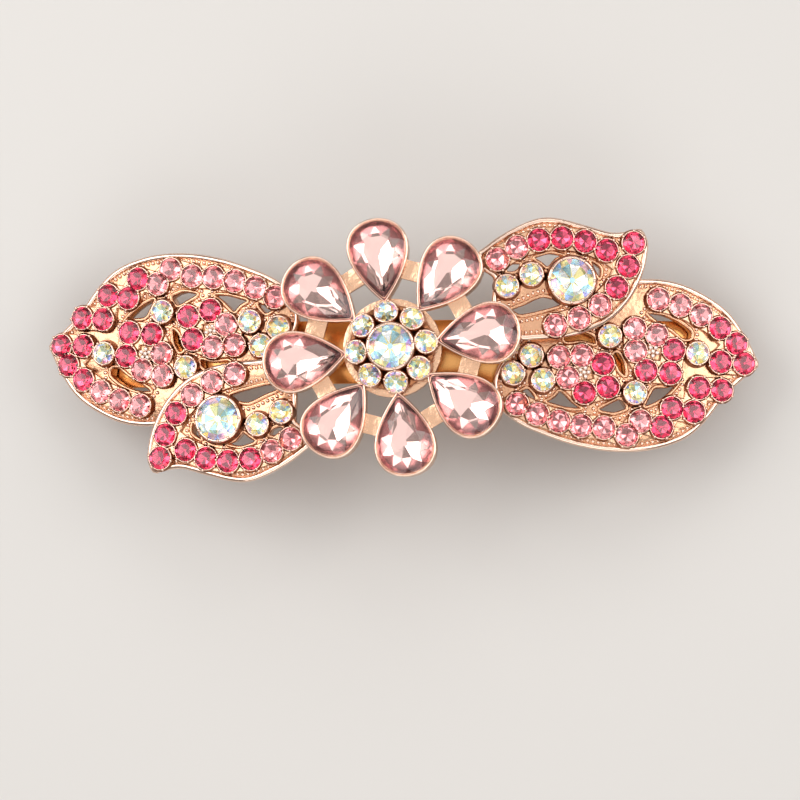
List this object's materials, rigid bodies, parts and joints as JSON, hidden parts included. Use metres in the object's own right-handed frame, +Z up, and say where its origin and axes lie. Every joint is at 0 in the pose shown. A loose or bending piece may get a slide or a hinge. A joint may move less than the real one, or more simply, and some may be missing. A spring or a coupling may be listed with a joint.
{
  "type": "hair barrette",
  "caption": "Arched metal barrette with leaf castings, teardrop flower and rhinestones on a sprung hair clip with hinged arm and catch.",
  "frame": {"origin": "on the table under the middle of the flower, at the height of the hinge ears' feet and the catch prongs' tips", "axes": "+X along the barrette towards the catch, +Y across it, +Z up, out of the stones"},
  "size_m": [0.0958, 0.0346, 0.0242],
  "materials": {
    "rose_gold_casting": "polished rose gold plating on a zinc alloy casting",
    "gilt_steel": "gilt steel sheet",
    "spring_steel": "plain spring steel",
    "rose_pave": "faceted fuchsia and light rose glass",
    "aurora_crystal": "faceted crystal with an aurora coating",
    "pale_pink_glass": "faceted pale pink glass"
  },
  "bodies": {
    "barrette": {"large_leaf_left": "rose_gold_casting", "large_leaf_right": "rose_gold_casting", "small_leaf_left": "rose_gold_casting", "small_leaf_right": "rose_gold_casting", "flower_frame": "rose_gold_casting", "rosette_cup": "rose_gold_casting", "clip_plate": "gilt_steel", "hinge_bracket": "gilt_steel", "catch_base": "gilt_steel", "hinge_rivet": "spring_steel", "catch_rivet": "spring_steel", "hinge_pin": "spring_steel", "tension_bow": "spring_steel", "large_band_stones_left": "rose_pave", "large_band_stones_right": "rose_pave", "small_band_stones_left": "rose_pave", "small_band_stones_right": "rose_pave", "tip_heart_stones_left": "rose_pave", "tip_heart_stones_right": "rose_pave", "inner_heart_stones_left": "rose_pave", "inner_heart_stones_right": "rose_pave", "crystal_tip_left": "aurora_crystal", "crystal_tip_right": "aurora_crystal", "crystal_upper_left": "aurora_crystal", "crystal_upper_right": "aurora_crystal", "crystal_lower_left": "aurora_crystal", "crystal_lower_right": "aurora_crystal", "crystal_cluster_top_left": "aurora_crystal", "crystal_cluster_top_right": "aurora_crystal", "crystal_cluster_inner_left": "aurora_crystal", "crystal_cluster_inner_right": "aurora_crystal", "crystal_cluster_low_left": "aurora_crystal", "crystal_cluster_low_right": "aurora_crystal", "crystal_stem_outer_left": "aurora_crystal", "crystal_stem_outer_right": "aurora_crystal", "crystal_stem_inner_left": "aurora_crystal", "crystal_stem_inner_right": "aurora_crystal", "crystal_large_left": "aurora_crystal", "crystal_large_right": "aurora_crystal", "centre_crystal": "aurora_crystal", "halo_crystal_1": "aurora_crystal", "halo_crystal_2": "aurora_crystal", "halo_crystal_3": "aurora_crystal", "halo_crystal_4": "aurora_crystal", "halo_crystal_5": "aurora_crystal", "halo_crystal_6": "aurora_crystal", "halo_crystal_7": "aurora_crystal", "halo_crystal_8": "aurora_crystal", "petal_stone_1": "pale_pink_glass", "petal_stone_2": "pale_pink_glass", "petal_stone_3": "pale_pink_glass", "petal_stone_4": "pale_pink_glass", "petal_stone_5": "pale_pink_glass", "petal_stone_6": "pale_pink_glass", "petal_stone_7": "pale_pink_glass", "petal_stone_8": "pale_pink_glass"},
    "arm": {"clip_arm": "gilt_steel"},
    "front_prong": {"catch_prong_front": "gilt_steel"},
    "rear_prong": {"catch_prong_rear": "gilt_steel"}
  },
  "joints": [
    {"name": "arm_hinge", "type": "hinge", "parent": "barrette", "child": "arm", "pos_m": [-0.02984, 0, 0.0033], "axis": [0, 1, 0], "range_deg": [0, 75]},
    {"name": "front_prong_flex", "type": "hinge", "parent": "barrette", "child": "front_prong", "pos_m": [0.03116, -0.00355, 0.00854], "axis": [-0.9697, 0, 0.2442], "range_deg": [0, 6], "stiffness_Nm_per_rad": 0.05},
    {"name": "rear_prong_flex", "type": "hinge", "parent": "barrette", "child": "rear_prong", "pos_m": [0.03116, 0.00355, 0.00854], "axis": [0.9697, 0, -0.2442], "range_deg": [0, 6], "stiffness_Nm_per_rad": 0.05}
  ]
}
